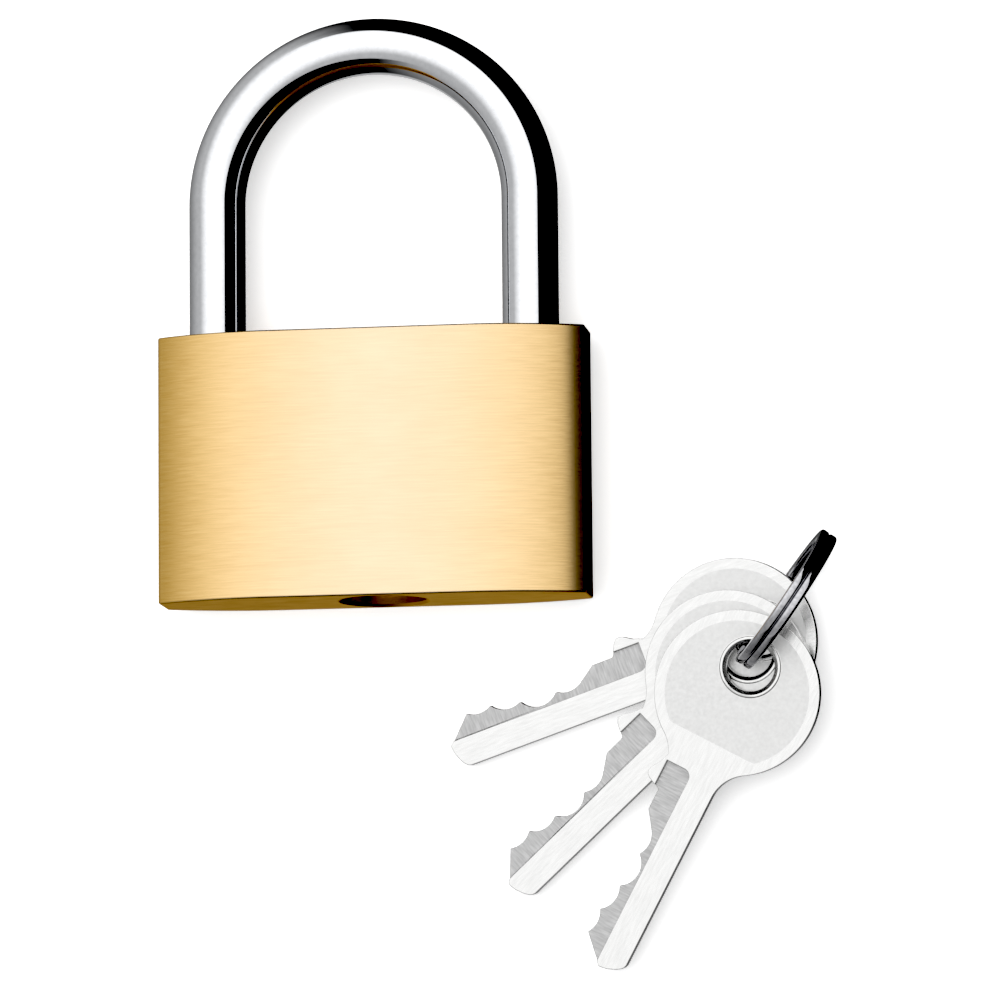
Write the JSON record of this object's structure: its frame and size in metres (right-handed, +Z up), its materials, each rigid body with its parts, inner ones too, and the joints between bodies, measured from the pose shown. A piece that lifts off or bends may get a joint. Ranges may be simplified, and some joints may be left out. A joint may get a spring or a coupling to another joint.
{
  "type": "padlock",
  "caption": "Brass pin-tumbler padlock with a round steel shackle, sliding locking bolts, a turning plug and cut keys on a split ring.",
  "frame": {"origin": "centre of the body's flat top face, midway between the shackle legs", "axes": "+X to the right across the width, +Y out of the top face along the shackle legs, +Z up from the front face; the lock lies on its back"},
  "size_m": [0.079, 0.1116, 0.0181],
  "materials": {
    "body_brass": "brushed across the width, satin",
    "plug_brass": "turned, satin",
    "pin_brass": "turned, bright",
    "shackle_chrome": "polished",
    "works_steel": "ground",
    "spring_steel": "drawn wire",
    "key_nickel": "nickel plated, satin",
    "ring_chrome": "polished"
  },
  "bodies": {
    "lock_body": {"body": "body_brass", "cross_bore_plug": "body_brass", "plug_retaining_pin": "body_brass", "heel_retaining_pin": "body_brass", "shackle_spring": "spring_steel", "bolt_spring": "spring_steel", "pin_spring_1": "spring_steel", "pin_spring_2": "spring_steel", "pin_spring_3": "spring_steel", "pin_spring_4": "spring_steel", "chamber_plug_1": "body_brass", "chamber_plug_2": "body_brass", "chamber_plug_3": "body_brass", "chamber_plug_4": "body_brass"},
    "shackle": {"shackle": "shackle_chrome"},
    "plug": {"plug": "plug_brass", "cam": "works_steel"},
    "heel_bolt": {"heel_bolt": "works_steel"},
    "toe_bolt": {"toe_bolt": "works_steel"},
    "split_ring": {"split_ring": "ring_chrome"},
    "key_pin_1": {"key_pin_1": "pin_brass"},
    "key_pin_2": {"key_pin_2": "pin_brass"},
    "key_pin_3": {"key_pin_3": "pin_brass"},
    "key_pin_4": {"key_pin_4": "pin_brass"},
    "driver_pin_1": {"driver_pin_1": "pin_brass"},
    "driver_pin_2": {"driver_pin_2": "pin_brass"},
    "driver_pin_3": {"driver_pin_3": "pin_brass"},
    "driver_pin_4": {"driver_pin_4": "pin_brass"},
    "key_1": {"key_1": "key_nickel"},
    "key_2": {"key_2": "key_nickel"},
    "key_3": {"key_3": "key_nickel"}
  },
  "joints": [
    {"name": "shackle_lift", "type": "slide", "parent": "lock_body", "child": "shackle", "axis": [0, 1, 0], "range_m": [0, 0.009]},
    {"name": "plug_turn", "type": "hinge", "parent": "lock_body", "child": "plug", "pos_m": [0.001, -0.02, 0], "axis": [0, -1, 0], "range_deg": [-90, 0]},
    {"name": "heel_bolt_slide", "type": "slide", "parent": "lock_body", "child": "heel_bolt", "axis": [1, 0, 0], "range_m": [0, 0.0017]},
    {"name": "toe_bolt_slide", "type": "slide", "parent": "lock_body", "child": "toe_bolt", "axis": [-1, 0, 0], "range_m": [0, 0.0017]},
    {"name": "key_pin_1_slide", "type": "slide", "parent": "plug", "child": "key_pin_1", "axis": [0, 0, 1], "range_m": [0, 0.0013]},
    {"name": "key_pin_2_slide", "type": "slide", "parent": "plug", "child": "key_pin_2", "axis": [0, 0, 1], "range_m": [0, 0.0009]},
    {"name": "key_pin_3_slide", "type": "slide", "parent": "plug", "child": "key_pin_3", "axis": [0, 0, 1], "range_m": [0, 0.0019]},
    {"name": "key_pin_4_slide", "type": "slide", "parent": "plug", "child": "key_pin_4", "axis": [0, 0, 1], "range_m": [0, 0.0026]},
    {"name": "driver_pin_1_slide", "type": "slide", "parent": "lock_body", "child": "driver_pin_1", "axis": [-1, 0, 0], "range_m": [0, 0.0015], "stiffness_N_per_m": 150, "springref_m": -0.002, "deforming": ["pin_spring_1"]},
    {"name": "driver_pin_2_slide", "type": "slide", "parent": "lock_body", "child": "driver_pin_2", "axis": [-1, 0, 0], "range_m": [0, 0.0015], "stiffness_N_per_m": 150, "springref_m": -0.002, "deforming": ["pin_spring_2"]},
    {"name": "driver_pin_3_slide", "type": "slide", "parent": "lock_body", "child": "driver_pin_3", "axis": [-1, 0, 0], "range_m": [0, 0.0015], "stiffness_N_per_m": 150, "springref_m": -0.002, "deforming": ["pin_spring_3"]},
    {"name": "driver_pin_4_slide", "type": "slide", "parent": "lock_body", "child": "driver_pin_4", "axis": [-1, 0, 0], "range_m": [0, 0.0015], "stiffness_N_per_m": 150, "springref_m": -0.002, "deforming": ["pin_spring_4"]},
    {"name": "key_ring_lift", "type": "slide", "parent": "lock_body", "child": "split_ring", "axis": [0, 0, 1], "range_m": [0, 0.06]},
    {"name": "key_1_swing", "type": "hinge", "parent": "split_ring", "child": "key_1", "pos_m": [0.04445, -0.0354, -0.0031], "axis": [0, -0.1132, 0.9936], "range_deg": [-13, 35]},
    {"name": "key_2_swing", "type": "hinge", "parent": "split_ring", "child": "key_2", "pos_m": [0.0431, -0.03815, -0.0012], "axis": [0, -0.1132, 0.9936], "range_deg": [-35, 15]},
    {"name": "key_3_swing", "type": "hinge", "parent": "split_ring", "child": "key_3", "pos_m": [0.0435, -0.04005, 0.0008], "axis": [0, -0.1132, 0.9936], "range_deg": [-40, 40]}
  ],
  "couplings": [
    {"joint": "toe_bolt_slide", "follows": "heel_bolt_slide", "ratio": 1},
    {"joint": "plug_turn", "follows": "heel_bolt_slide", "rad_per_m": -923.99}
  ]
}
